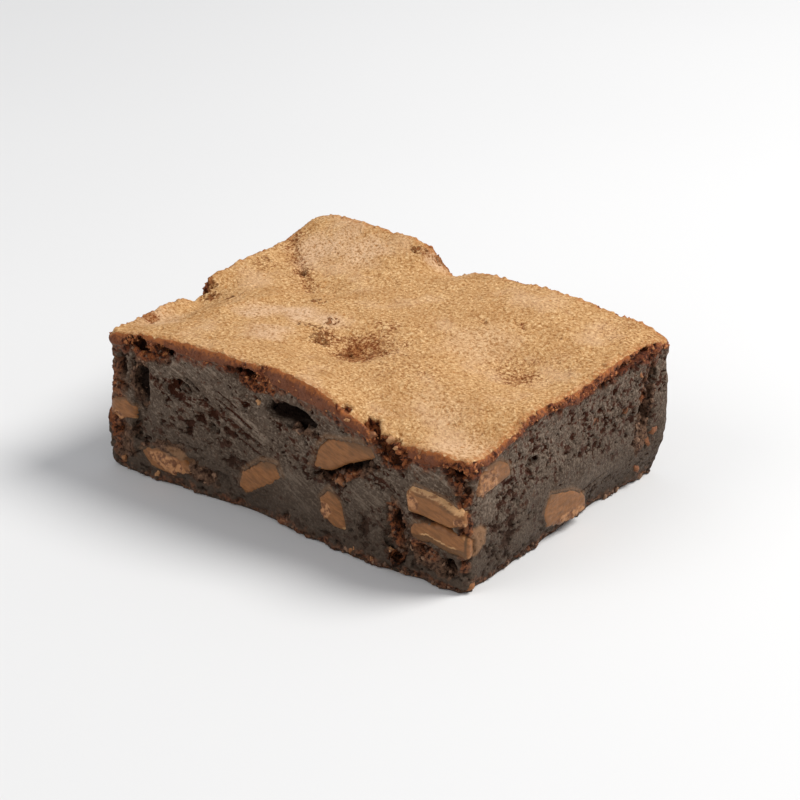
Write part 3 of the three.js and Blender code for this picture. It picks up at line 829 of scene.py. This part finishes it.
def cake_material(settings):
    n = Nodes("cake_crumb_and_crust")
    names = ("top", "below", *PAINTS)
    top, below, band, pit, brown, hollow, pale, smear, rim, flock, rusty = map(n.attribute, names)

    # Crumb: grey brown and waxy, with light flakes, dark specks and torn red brown pits
    crumb = n.lay(settings.crumb, settings.crumb_dark, n.noise(3.5, 3), 0.3, 0.7)
    flakes = n.noise(0.42, 3, 0.65, stretch=(0.6, 1, 1), turn=(0, 0.3, 0))
    flakes = n.math("ADD", flakes, n.range(flock, 0.2, 0.8, 0, 0.03))
    crumb = n.lay(crumb, settings.crumb_light, flakes, 0.49, 0.63, 0.6)
    # Partly painted sheen: light streaks drawn along the places the knife pressed smooth stand in for
    # their sheen
    drag = n.noise(0.6, 2, 0.5, stretch=(0.12, 1, 1), turn=(0, 0.4, 0))
    dragged = n.math("MULTIPLY", pale, n.range(drag, 0.48, 0.62, 0, 0.7))
    crumb = n.mix(dragged, crumb, settings.crumb_light)
    specks = n.noise(0.5, 3, 0.65)
    speck_share = n.math("MULTIPLY", n.range(specks, 0.54, 0.6), n.range(pale, 0, 1, 0.65, 0.3))
    crumb = n.mix(speck_share, crumb, settings.speck)
    tears = n.noise(1.3, 5, 0.62, stretch=(0.6, 1, 1), turn=(0, 0.28, 0))
    tears = n.math("ADD", tears, n.range(flock, 0, 1, -0.05, 0.045))
    crumb = n.lay(crumb, settings.pit_edge, tears, 0.57, 0.605, 0.6)
    ragged_pit = n.math("ADD", pit, n.range(specks, 0.3, 0.7, -0.25, 0.25))
    torn_pit = n.math("MAXIMUM", n.range(tears, 0.61, 0.63), n.range(ragged_pit, 0.34, 0.5))
    crumb = n.mix(torn_pit, crumb, settings.pit)
    # Painted shade: the crumb is darkened towards the floor, where less light reaches the cut sides
    painted_shade_height = 22  # mm, over which the painted shade near the floor fades out
    crumb = n.mix(n.range(n.height(), 0, painted_shade_height, 0.8, 0), crumb, settings.foot)

    # Torn cake: rusty under the crust and brown further down, with light crumbs and dark gaps
    gaps = n.noise(0.75, 3, 0.6)
    silk = n.noise(2.4, 3, 0.6)
    rust = n.lay(settings.band_dark, settings.rust_dark, gaps, 0.4, 0.52)
    rusty_crumbs = n.math("MULTIPLY", rusty, n.range(gaps, 0.42, 0.55, 0, 0.35))
    rust = n.mix(rusty_crumbs, rust, settings.rust)
    rust = n.lay(rust, settings.band_light, gaps, 0.6, 0.7)
    knobs = n.lay(settings.torn_dark, settings.torn, gaps, 0.38, 0.54)
    knobs = n.lay(knobs, settings.torn_light, gaps, 0.58, 0.7)
    reddened = n.math("MULTIPLY", rusty, n.range(silk, 0.35, 0.6, 0.4, 0.88))
    torn = n.mix(n.math("SUBTRACT", n.range(below, 2.5, 6), reddened), rust, knobs)
    ragged_brown = n.math("ADD", brown, n.range(n.noise(1.4, 3), 0.3, 0.7, -0.35, 0.35))
    crumb = n.lay(crumb, torn, ragged_brown, 0.15, 0.95)

    # Band under the crust: rusty at the rim, then smooth and pinkish brown
    smooth_band = n.lay(settings.band, settings.band_pink, silk, 0.35, 0.65)
    smooth_band = n.lay(smooth_band, settings.band_dark, specks, 0.55, 0.62, 0.45)
    under_rim = n.math("ADD", below, n.range(gaps, 0.3, 0.7, 0.5, -0.5))
    smooth_band = n.mix(n.range(under_rim, 0.3, 1.4, 0.9, 0), smooth_band, settings.rust)
    smooth_band = n.lay(smooth_band, torn, ragged_brown, 0.3, 0.8)
    side = n.lay(crumb, smooth_band, band, 0.3, 0.7)
    # Painted shade in the hollows: dark rust near the crust and near black further down
    deep = n.lay(settings.band_dark, settings.hollow, below, 2, 7)
    side = n.lay(side, deep, hollow, 0.05, 0.9, 0.95)
    side = n.lay(side, settings.smear, smear, 0, 1, 0.92)

    # Baked skin: sandy tan, browner where it is moist or broken
    sand = n.noise(0.55, 3, 0.7)
    skin = n.lay(settings.skin_dark, settings.skin, sand, 0.36, 0.5)
    skin = n.lay(skin, settings.skin_light, sand, 0.53, 0.65)
    # Pale patches, partly the crust's own tone and partly painted highlight where the crust faces the
    # light
    paler = n.math("MULTIPLY", pale, n.range(sand, 0.36, 0.58, 0.15, 0.85))
    skin = n.mix(paler, skin, settings.skin_pale)
    skin = n.lay(skin, settings.skin_dark, n.noise(6, 3), 0.45, 0.72, 0.3)
    skin = n.lay(skin, settings.skin_pale, n.noise(9, 3), 0.5, 0.75, 0.35)
    fleck = n.noise(0.8)
    skin = n.lay(skin, settings.fleck, fleck, 0.67, 0.72, 0.8)
    moist = n.lay(settings.moist_dark, settings.moist, sand, 0.38, 0.58)
    grainy_brown = n.math("ADD", brown, n.range(sand, 0.35, 0.65, 0.25, -0.25))
    skin = n.lay(skin, moist, grainy_brown, 0.1, 0.95)
    cracks = n.noise(1.0, 5, 0.7)
    cracks = n.math("ADD", cracks, n.range(flock, 0, 0.7, -0.3, 0.04))
    skin = n.lay(skin, settings.moist, cracks, 0.54, 0.56, 0.8)
    skin = n.lay(skin, settings.moist_dark, cracks, 0.59, 0.615, 0.5)
    crumbly_rim = n.math("MULTIPLY", rim, n.range(gaps, 0.4, 0.62, 0.1, 0.9))
    skin = n.mix(crumbly_rim, skin, settings.band_light)
    skin = n.lay(skin, settings.moist_dark, pit, 0.1, 0.8, 0.8)
    skin = n.lay(skin, rust, hollow, 0.3, 0.6)
    colour = n.lay(side, skin, top, 0.35, 0.6)

    # Fine relief of both
    relief = n.math("ADD", sand, n.math("MULTIPLY", specks, -0.7))
    dents = n.math("MULTIPLY", torn_pit, n.range(top, 0.3, 0.6, -0.5, 0))
    holes = n.math("MULTIPLY", n.range(cracks, 0.54, 0.62), n.range(top, 0.3, 0.6, 0, -0.6))
    n.bump(n.math("ADD", n.math("ADD", relief, dents), holes), depth=0.35)
    return n.finish(colour, roughness=n.range(top, 0.3, 0.6, 0.6, 0.8), gloss=0.13)


def chocolate_material(settings):
    n = Nodes("milk_chocolate")
    streaks = n.noise(0.9, 3, 0.6, stretch=(0.4, 0.4, 1.6), turn=(0, 0.3, 0))
    colour = n.lay(settings.milk, settings.milk_dark, streaks, 0.35, 0.65)
    scratch = n.noise(0.5, 3, 0.6, stretch=(0.25, 0.25, 1.4), turn=(0, 0.6, 0))
    colour = n.lay(colour, settings.smudge_and_shade, scratch, 0.6, 0.68, 0.5)
    chips = n.noise(0.9, 4, 0.6)
    # Painted highlight along the sharp edges, the lit bevel and the ridge of the lower facet
    edge = n.math("MULTIPLY", n.attribute("edge"), n.range(chips, 0.36, 0.5, 0.45, 1))
    colour = n.lay(colour, settings.milk_highlight, edge, 0.2, 0.8)
    broken = n.lay(settings.chip_dark, settings.chip_light, chips, 0.4, 0.6)
    colour = n.lay(colour, broken, n.attribute("broken"), 0.2, 0.9)
    # Knife smudges, with painted shade on the lower facet and the darkening of the pieces in the right
    # side
    colour = n.lay(colour, settings.smudge_and_shade, n.attribute("smudge_and_shade"), 0.1, 1.0, 0.8)
    n.bump(n.math("ADD", streaks, chips), depth=0.16, strength=0.8)
    return n.finish(colour, roughness=0.45, gloss=0.24)


def crumb_material(name, dark, middle, light):
    """Dry crumbs, each lighter or darker than the next."""
    n = Nodes(name)
    shade = n.attribute("shade")
    grain = n.noise(0.35, 3, 0.6)
    value = n.math("ADD", shade, n.range(grain, 0.3, 0.7, -0.25, 0.25))
    colour = n.lay(dark, middle, value, 0.0, 0.5)
    colour = n.lay(colour, light, value, 0.5, 1.0)
    n.bump(grain, depth=0.12, strength=0.8)
    return n.finish(colour, roughness=0.7, gloss=0.35)


def floor_material(settings):
    n = Nodes("studio_floor")
    clouded = 0.96
    cloud_size = 300  # mm
    shade = tuple(clouded * c for c in settings.floor[:3]) + (1.0,)
    colour = n.lay(settings.floor, shade, n.noise(cloud_size), 0.3, 0.7)
    return n.finish(colour, roughness=0.9)


# The chocolate


def edge_distance(points, along, upper):
    """How far each point lies from the upper or lower edge of its piece, straight up or down."""
    width = 0.8  # mm, of the columns that the piece is seen in
    spur = 0.4  # mm, the most that the edge of one column stands out past its neighbours
    column = np.floor((points @ along) / width).astype(int)
    column -= column.min()
    sign = 1 if upper else -1
    edge = np.full(column.max() + 3, -1e9)
    np.maximum.at(edge, column + 1, sign * points[:, 2])
    edge = np.minimum(edge, np.roll(edge, 1) * 0.5 + np.roll(edge, -1) * 0.5 + spur)
    return edge[column + 1] - sign * points[:, 2]


def build_chocolate(node, material, cake):
    grain = 0.22 * MM
    swelling = 0.4 * MM  # so that the piece fills its pocket
    piece = copy_node(node, "milk_" + node)
    modify(piece, "REMESH", mode="VOXEL", voxel_size=grain, adaptivity=0, use_smooth_shade=True)
    modify(piece, "SMOOTH", factor=0.5, iterations=3)
    modify(piece, "DISPLACE", strength=swelling, mid_level=0)
    points = points_of(piece)

    # The cut face lies level with the crumb round it, or a little proud of it
    around, depth_seen, bent = 1.5, 1.2, 3  # mm
    low, high = points.min(0), points.max(0)
    main_side = sides_of(node)[0]
    _, along, _ = side_frame(main_side)
    facet = np.zeros(len(points))
    if node in FACETS:
        edge_side, width, depth = FACETS[node]
        away = edge_distance(points, along, edge_side > 0)
        ends = np.minimum((points - low) @ abs(along), (high - points) @ abs(along))
        facet = (1 - np.clip(away / width, 0, 1)) * smoothstep(ends, 0, 1.5)
        ridge = np.exp(-(((away - width) / 0.22) ** 2)) * smoothstep(ends, 1, 3)
        ridge *= smoothstep(clouds(points, 1.3, 2, seed=46), 0.3, 0.5)
    for side in sides_of(node):
        middle, _, out = side_frame(side)
        face = (points @ out).max()
        near = (cake > low - around).all(1) & (cake < high + around).all(1)
        near &= cake @ out > middle @ out - depth_seen
        level = np.percentile(cake[near] @ out, 70) if near.any() else middle @ out
        proud = PROUD.get(node, FLUSH) if side == main_side else FLUSH
        outer = smoothstep(points @ out, face - bent, face)
        points -= np.outer(outer * (face - level - proud), out)
        if node in FACETS and side == main_side:
            points -= np.outer(outer * facet * depth, out)

    upper = (points[:, 2] - low[2]) / (high[2] - low[2])
    is_broken = in_places(points, BROKEN_CHOCOLATE, 0.8 * (clouds(points, 1.4, 2, seed=41) - 0.5))
    normals = normals_of(piece)
    ripple = 0.2 * (clouds(points @ turning((0, 20, 0)) * (1, 1, 2), 1.6, 2, seed=42) - 0.5)
    points += normals * (ripple + is_broken * (clouds(points, 1.1, 3, seed=43) - 0.5))[:, None]
    set_points(piece, points)

    # Painted highlight: edges are lightened where the surface turns sharply
    soft = piece.copy()
    soft.data = piece.data.copy()
    bpy.context.scene.collection.objects.link(soft)
    modify(soft, "SMOOTH", factor=0.5, iterations=10)
    edge = ((points - points_of(soft)) * normals_of(piece)).sum(1)
    bpy.data.objects.remove(soft)
    shown = 1 if node in PROUD else np.clip(0.8 * (1.2 - upper), 0, 1)
    edge = smoothstep(edge, 0.03, 0.14) * shown

    # The knife drew cake over the upper part of each piece, and the pieces in the right side are darkened
    # all over
    smudge_and_shade = smoothstep(upper + 0.35 * (clouds(points, 2.4, 2, seed=44) - 0.5), 0.66, 1.0)
    smudge_and_shade = 0.3 * spots(clouds(points, 3, 2, seed=45), 0.4) + (0 if node in PROUD else smudge_and_shade)
    if "right" in sides_of(node) and node not in PROUD:
        smudge_and_shade = np.maximum(smudge_and_shade, 0.45)
    # Painted light on the facets: the upper bevel is lightened as though lit from above, with a dark line
    # of cracks where it meets the face; the lower facet is darkened as painted shade, with a painted
    # highlight along the ridge where it meets the face
    if node in FACETS and edge_side > 0:
        edge = np.maximum(edge, 0.75 * smoothstep(facet, 0.05, 0.3))
        smudge_and_shade = np.maximum(smudge_and_shade, ridge)
    elif node in FACETS:
        edge = np.maximum(0.5 * edge * (1 - smoothstep(facet, 0, 0.1)), ridge)
        smudge_and_shade = np.maximum(smudge_and_shade, smoothstep(facet, 0, 0.15))
    paint(piece, "edge", edge)
    paint(piece, "broken", is_broken)
    paint(piece, "smudge_and_shade", np.clip(smudge_and_shade, 0, 1))
    piece.data.materials.append(material)
    return piece


# The crumbs


def crumb_shape():
    """One rough crumb about a millimetre across: its corners and its faces."""
    bpy.ops.object.select_all(action="DESELECT")
    bpy.ops.mesh.primitive_ico_sphere_add(subdivisions=2, radius=0.5 * MM)
    crumb = bpy.context.object
    rough = clouds(points_of(crumb), 0.35, 2, seed=51) - 0.5
    set_points(crumb, points_of(crumb) * (1 + 1.7 * rough[:, None]))
    corners = points_of(crumb)
    faces = np.array([tuple(face.vertices) for face in crumb.data.polygons])
    bpy.data.objects.remove(crumb)
    return corners, faces


def scatter(name, shape, places, normals, sizes, draw, material):
    """One mesh of many crumbs, each turned and squashed its own way and pressed into the cake."""
    pressed_in = 0.2  # of its size
    above_floor = 0.02  # mm
    corners, faces = shape
    count = len(places)
    turns = draw.uniform(0, 360, (count, 3))
    squash = draw.uniform(0.45, 1.2, (count, 3))
    shades = draw.uniform(0, 1, count)
    all_corners = np.empty((count, len(corners), 3))
    for index in range(count):
        crumb = corners * sizes[index] * squash[index] @ turning(turns[index])
        all_corners[index] = crumb + places[index] - normals[index] * sizes[index] * pressed_in
    all_corners[:, :, 2] += np.maximum(0, above_floor - all_corners[:, :, 2].min(1))[:, None]
    all_faces = faces + (np.arange(count) * len(corners))[:, None, None]
    mesh = bpy.data.meshes.new(name)
    mesh.from_pydata((all_corners.reshape(-1, 3) * MM).tolist(), [], all_faces.reshape(-1, 3).tolist())
    mesh.polygons.foreach_set("use_smooth", np.ones(len(mesh.polygons), bool))
    piece = bpy.data.objects.new(name, mesh)
    bpy.context.scene.collection.objects.link(piece)
    paint(piece, "shade", np.repeat(shades, len(corners)))
    mesh.materials.append(material)
    return piece


def build_crumbs(settings, cake_settings, cake):
    points, normals = points_of(cake), normals_of(cake)
    draw = np.random.default_rng(settings.seed)
    shape = crumb_shape()
    top, band, brown = (painted(cake, name) for name in ("top", "band", "brown"))
    border = top * (1 - top) * 4

    # Each kind: how many, where they are likely, their least and greatest size, and their colours
    crust_colours = (cake_settings.band, cake_settings.rust, cake_settings.band_light)
    torn_colours = (cake_settings.torn_dark, cake_settings.torn, cake_settings.torn_light)
    on_rim = (0.22 + brown) * (border + 0.7 * band * (1 - top))
    in_tears = brown**2 * (1 - top) * (1 - band)
    at_foot = (1 - smoothstep(points[:, 2], 0.4, 1.5)) * (abs(normals[:, 2]) < 0.8)
    kinds = {
        "crust_crumbs": (settings.crust_crumbs, on_rim, (0.25, 0.8), crust_colours),
        "cake_crumbs": (settings.cake_crumbs, in_tears, (0.3, 1.1), torn_colours),
        "foot_crumbs": (settings.foot_crumbs, at_foot, (0.3, 1), torn_colours),
    }

    # The larger ones that cling to the cut sides
    standing_out = 0.1  # mm
    places, spread = [], []
    for side, (across, up), size in CLINGING:
        middle, along, out = side_frame(side)
        spot = middle + along * across + (0, 0, up)
        places.append(points[np.argmin(((points - spot) ** 2).sum(1))] + out * standing_out)
        spread.append(out)
    cling_colours = (settings.cling_dark, settings.cling, settings.cling_light)
    material = crumb_material("clinging_crumbs_look", *cling_colours)
    sizes = [size for _, _, size in CLINGING]
    pieces = [scatter("clinging_crumbs", shape, places, spread, sizes, draw, material)]

    # Then the loose ones
    for name, (count, likely, (least, most), colours) in kinds.items():
        picked = draw.choice(len(points), count, replace=False, p=likely / likely.sum())
        sizes = least + (most - least) * draw.random(count) ** 2
        material = crumb_material(name + "_look", *colours)
        pieces.append(scatter(name, shape, points[picked], normals[picked], sizes, draw, material))
    return pieces


def colour_setting(name, description, rgb):
    return FloatVectorProperty(
        name=name, description=description, default=(*rgb, 1.0), size=4, min=0, max=1, subtype="COLOR"
    )


class BrownieCakeSettings(bpy.types.PropertyGroup):
    grain: FloatProperty(
        name="Grain", description="Side of the cells that the cake is meshed in", default=0.3 * MM,
        unit="LENGTH", subtype="DISTANCE"
    )
    triangles: IntProperty(
        name="Triangles", description="Most triangles that the cake keeps", default=196000
    )
    crumb: colour_setting("Crumb", "Grey brown of the cut crumb", (0.125, 0.088, 0.062))
    crumb_dark: colour_setting("Dark crumb", "Darker stretches of the crumb", (0.09, 0.058, 0.038))
    # Also the painted sheen in the streaks of the knife-smoothed places
    crumb_light: colour_setting("Light crumb", "Light flakes of the crumb", (0.31, 0.232, 0.168))
    # Painted shade: the colour that the crumb is darkened towards near the floor
    foot: colour_setting("Foot", "Dense crumb near the floor", (0.06, 0.04, 0.027))
    speck: colour_setting("Specks", "Small pores of the crumb", (0.042, 0.019, 0.009))
    pit: colour_setting("Pits", "Inside of the pits in the crumb", (0.055, 0.013, 0.0035))
    pit_edge: colour_setting("Rims of pits", "Red brown round the pits", (0.12, 0.038, 0.015))
    # Painted shade: the near black laid into the larger holes, crevices and slots
    hollow: colour_setting("Hollows", "Inside of the larger holes", (0.014, 0.006, 0.003))
    torn: colour_setting("Torn cake", "Knobbly crumbs of the torn places", (0.14, 0.075, 0.044))
    torn_dark: colour_setting("Torn gaps", "Gaps between those crumbs", (0.04, 0.016, 0.008))
    torn_light: colour_setting("Torn light", "Light bits of those crumbs", (0.27, 0.15, 0.085))
    band: colour_setting("Band", "Band under the crust", (0.175, 0.054, 0.022))
    band_pink: colour_setting("Smooth band", "Smooth stretches of the band", (0.2, 0.072, 0.036))
    band_dark: colour_setting("Dark band", "Torn places in the band", (0.038, 0.01, 0.004))
    band_light: colour_setting("Light band", "Crumbs of the torn crust", (0.45, 0.18, 0.06))
    rust_dark: colour_setting("Dark rust", "Torn cake under the crust", (0.165, 0.043, 0.016))
    rust: colour_setting("Rust", "Rim of the crust seen from the side", (0.42, 0.135, 0.037))
    smear: colour_setting("Smear", "Chocolate smeared over the crumb", (0.28, 0.148, 0.074))
    skin: colour_setting("Skin", "Tan of the baked skin", (0.58, 0.32, 0.13))
    skin_dark: colour_setting("Dark skin", "Dark grains of the skin", (0.36, 0.16, 0.047))
    skin_light: colour_setting("Light skin", "Light grains of the skin", (0.82, 0.54, 0.27))
    # Also the colour of the painted highlight in the pale patches
    skin_pale: colour_setting("Pale skin", "Pinkish pale patches of the skin", (0.75, 0.49, 0.3))
    fleck: colour_setting("Flecks", "Orange flecks of the skin", (0.45, 0.19, 0.05))
    moist: colour_setting("Moist skin", "Skin of the hollows", (0.37, 0.15, 0.046))
    moist_dark: colour_setting("Dark moist skin", "Dark grains of the hollows", (0.16, 0.037, 0.007))


class BrownieCrumbSettings(bpy.types.PropertyGroup):
    seed: IntProperty(name="Seed", description="Picks another scatter of the crumbs", default=7)
    crust_crumbs: IntProperty(name="Crust crumbs", description="Crumbs along the rim", default=650)
    cake_crumbs: IntProperty(name="Cake crumbs", description="Crumbs in the torn places", default=500)
    foot_crumbs: IntProperty(name="Foot crumbs", description="Crumbs round the foot", default=300)
    cling: colour_setting("Clinging crumbs", "Larger crumbs on the cut sides", (0.33, 0.14, 0.05))
    cling_dark: colour_setting("Their dark side", "Darkest of the larger crumbs", (0.2, 0.07, 0.025))
    cling_light: colour_setting("Their light side", "Lightest of the larger crumbs", (0.46, 0.235, 0.1))


class BrownieChocolateSettings(bpy.types.PropertyGroup):
    milk: colour_setting("Milk chocolate", "Cut face of the chocolate", (0.31, 0.127, 0.043))
    milk_dark: colour_setting("Dark streaks", "Streaks across the chocolate", (0.21, 0.086, 0.029))
    # Painted highlight: the colour laid on the sharp edges and the lit bevel
    milk_highlight: colour_setting("Edges", "Broken edges of the chocolate", (0.58, 0.32, 0.14))
    chip_light: colour_setting("Chips", "Flaked chips where it is broken", (0.5, 0.235, 0.1))
    chip_dark: colour_setting("Gaps", "Between the chips where it is broken", (0.17, 0.065, 0.026))
    # Also used as painted shade on the lower facet of the corner piece
    smudge_and_shade: colour_setting("Smudge", "Where the knife drew cake over it", (0.13, 0.066, 0.029))


class BrownieStageSettings(bpy.types.PropertyGroup):
    floor: colour_setting("Floor", "Plain pale floor", (0.78, 0.77, 0.75))
    azimuth: FloatProperty(
        name="Azimuth", description="How far the camera stands round to the right",
        default=math.radians(38.38), subtype="ANGLE", unit="ROTATION"
    )
    elevation: FloatProperty(
        name="Elevation", description="How far the camera stands above the floor",
        default=math.radians(24.97), subtype="ANGLE", unit="ROTATION"
    )
    distance: FloatProperty(
        name="Distance", description="From the camera to the brownie", default=0.5,
        unit="LENGTH", subtype="DISTANCE"
    )


class BROWNIE_OT_cake(bpy.types.Operator):
    """Builds the cake with its crust, crumb and holes"""

    bl_idname = "brownie.cake"
    bl_label = "Cake"

    def execute(self, context):
        cake = build_cake(context.scene.brownie_cake)
        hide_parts("brownie")
        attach(cake, "root")
        return {"FINISHED"}


class BROWNIE_OT_chocolate(bpy.types.Operator):
    """Builds the pieces of chocolate in the cut sides"""

    bl_idname = "brownie.chocolate"
    bl_label = "Chocolate"

    def execute(self, context):
        material = chocolate_material(context.scene.brownie_chocolate)
        cake = points_of(bpy.data.objects["cake"])
        for node in sorted(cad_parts):
            if node != "brownie":
                piece = build_chocolate(node, material, cake)
                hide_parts(node)
                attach(piece, "root")
        return {"FINISHED"}


class BROWNIE_OT_crumbs(bpy.types.Operator):
    """Scatters loose crumbs on the rim, in the torn places and round the foot"""

    bl_idname = "brownie.crumbs"
    bl_label = "Crumbs"

    def execute(self, context):
        cake = bpy.data.objects["cake"]
        for piece in build_crumbs(context.scene.brownie_crumbs, context.scene.brownie_cake, cake):
            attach(piece, "root")
        return {"FINISHED"}


class BROWNIE_OT_stage(bpy.types.Operator):
    """Lays the floor and sets the lights and the camera"""

    bl_idname = "brownie.stage"
    bl_label = "Stage"

    def execute(self, context):
        settings = context.scene.brownie_stage
        floor_side = 6  # metres
        bpy.ops.object.select_all(action="DESELECT")
        bpy.ops.mesh.primitive_plane_add(size=floor_side)
        floor = context.object
        floor.name = "studio_floor"
        floor.data.materials.append(floor_material(settings))

        world = bpy.data.worlds.new("studio")
        world.use_nodes = True
        background = world.node_tree.nodes["Background"]
        background.inputs["Color"].default_value = (0.9, 0.93, 1.0, 1)  # a little cooler than white
        background.inputs["Strength"].default_value = 0.45
        context.scene.world = world

        # Each lamp: its name, place and size in metres, and power in watts
        lamps = (
            ("key", (0.45, 0.4, 0.75), 0.5, 9.0),
            ("fill", (-0.3, -0.6, 0.5), 0.6, 1.6),
        )
        for name, place, size, power in lamps:
            bpy.ops.object.light_add(type="AREA", location=place)
            lamp = context.object
            lamp.name = name
            lamp.data.shape = "DISK"
            lamp.data.size = size
            lamp.data.energy = power
            lamp.rotation_euler = (-Vector(place)).to_track_quat("-Z", "Y").to_euler()

        a, e = settings.azimuth, settings.elevation
        back = Vector((math.sin(a) * math.cos(e), -math.cos(a) * math.cos(e), math.sin(e)))
        right = Vector((math.cos(a), math.sin(a), 0))
        up = back.cross(right)
        target = Vector((0.15, 0.28, 13.0)) * MM
        aside = 2.20 * MM
        above = 0.57 * MM
        bpy.ops.object.camera_add(location=target + back * settings.distance + right * aside + up * above)
        camera = context.object
        camera.rotation_euler = (-back).to_track_quat("-Z", "Y").to_euler()
        camera.data.lens = 125.9  # mm, fitted to the corners of the brownie in the photograph
        camera.data.sensor_width = 36  # mm
        camera.data.clip_start = 0.01
        camera.data.clip_end = 20
        context.scene.camera = camera
        context.scene.view_settings.view_transform = "Standard"
        return {"FINISHED"}


class BROWNIE_PT_panel(bpy.types.Panel):
    """Lists the steps of the brownie"""

    bl_label = "Chocolate brownie"
    bl_space_type = "VIEW_3D"
    bl_region_type = "UI"
    bl_category = "Brownie"

    def draw(self, context):
        for operator in OPERATORS:
            self.layout.operator(operator.bl_idname)


SETTINGS = {
    "brownie_cake": BrownieCakeSettings,
    "brownie_chocolate": BrownieChocolateSettings,
    "brownie_crumbs": BrownieCrumbSettings,
    "brownie_stage": BrownieStageSettings,
}
OPERATORS = (BROWNIE_OT_cake, BROWNIE_OT_chocolate, BROWNIE_OT_crumbs, BROWNIE_OT_stage)


def register():
    for kind in (*SETTINGS.values(), *OPERATORS, BROWNIE_PT_panel):
        bpy.utils.register_class(kind)
    for name, kind in SETTINGS.items():
        setattr(bpy.types.Scene, name, PointerProperty(type=kind))


def unregister():
    for name in SETTINGS:
        delattr(bpy.types.Scene, name)
    for kind in (BROWNIE_PT_panel, *reversed(OPERATORS), *SETTINGS.values()):
        bpy.utils.unregister_class(kind)


def main():
    register()
    bpy.ops.brownie.cake()
    bpy.ops.brownie.chocolate()
    bpy.ops.brownie.crumbs()
    bpy.ops.brownie.stage()


if __name__ == "__main__":
    main()
